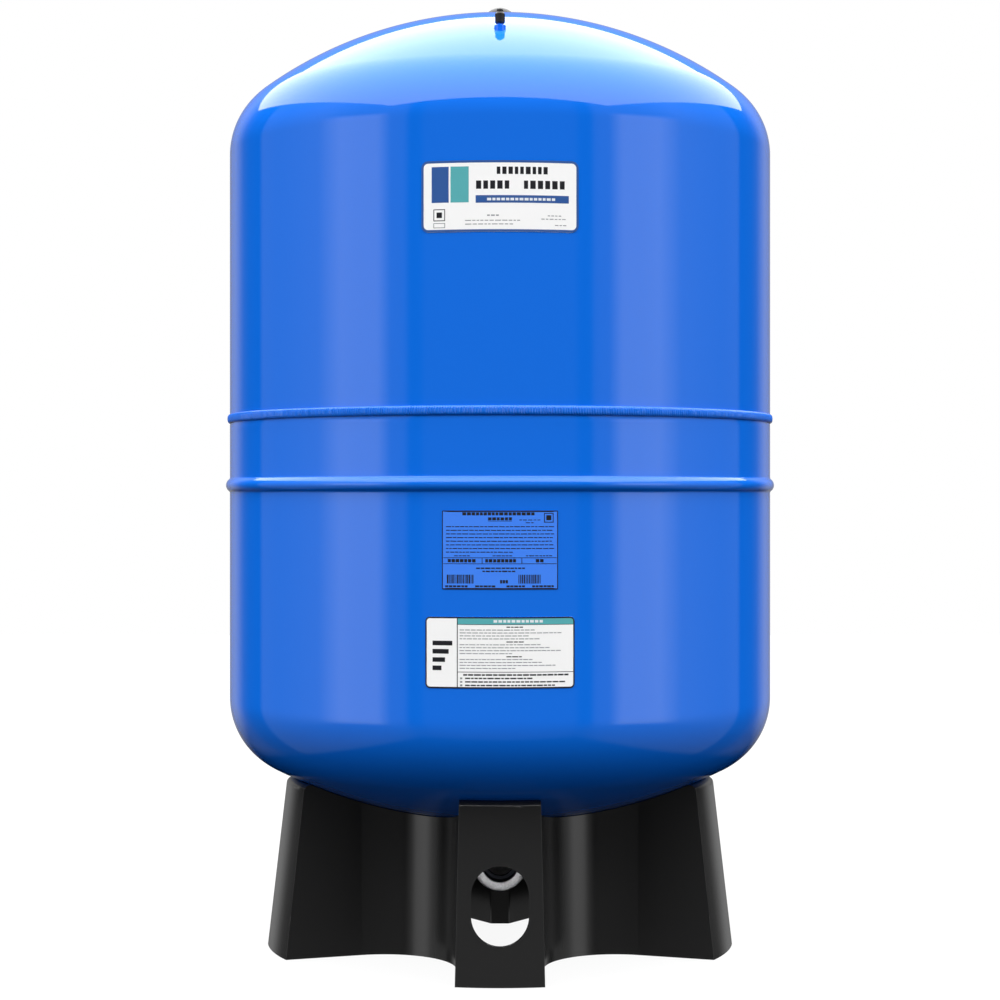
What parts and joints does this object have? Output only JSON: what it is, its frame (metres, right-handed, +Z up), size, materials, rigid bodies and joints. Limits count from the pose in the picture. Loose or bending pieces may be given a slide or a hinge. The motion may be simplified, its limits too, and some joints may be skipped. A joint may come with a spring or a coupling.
{
  "type": "well pressure tank",
  "caption": "Upright steel diaphragm pressure tank for a water well, with a ribbed and welded waist, an air valve, a bottom water elbow and a moulded legged stand.",
  "frame": {"origin": "on the tank's axis, at the floor that the stand's feet rest on", "axes": "+Z up along the tank's axis; -Y towards the labels, the front leg's pipe hole and the water outlet; +X to the right of someone facing the labels"},
  "size_m": [0.6698, 0.6698, 1.1443],
  "materials": {
    "blue_enamel": "smooth gloss enamel",
    "stainless_steel": "brushed",
    "plain_steel": "plain rolled",
    "black_rubber": "matt",
    "liner_plastic": "smooth moulded",
    "valve_brass": "turned",
    "stand_plastic": "satin moulded",
    "cap_plastic": "satin moulded",
    "white_vinyl": "printed film",
    "blue_vinyl": "printed film"
  },
  "bodies": {
    "tank": {"upper_shell": "blue_enamel", "lower_shell": "blue_enamel", "girth_weld": "blue_enamel", "valve_body": "blue_enamel", "crown_boss": "blue_enamel", "water_elbow": "stainless_steel", "port_flange": "stainless_steel", "port_weld": "stainless_steel", "clench_ring": "plain_steel", "valve_bushing": "blue_enamel", "core_spring": "plain_steel", "diaphragm": "black_rubber", "port_gasket": "black_rubber", "liner": "liner_plastic", "core_seal": "liner_plastic", "core_barrel": "valve_brass", "stand": "stand_plastic", "crown_cap": "cap_plastic", "upper_label": "white_vinyl", "lower_label": "white_vinyl", "data_label": "blue_vinyl"},
    "cap": {"valve_cap": "cap_plastic", "cap_seal": "black_rubber"},
    "pin": {"core_pin": "valve_brass", "core_cup": "black_rubber"}
  },
  "joints": [
    {"name": "cap_lift", "type": "slide", "parent": "tank", "child": "cap", "axis": [0, 0, 1], "range_m": [0, 0.015]},
    {"name": "pin_press", "type": "slide", "parent": "tank", "child": "pin", "axis": [0, 0, -1], "range_m": [0, 0.001], "stiffness_N_per_m": 1200, "springref_m": -0.002, "deforming": ["core_spring"]}
  ]
}
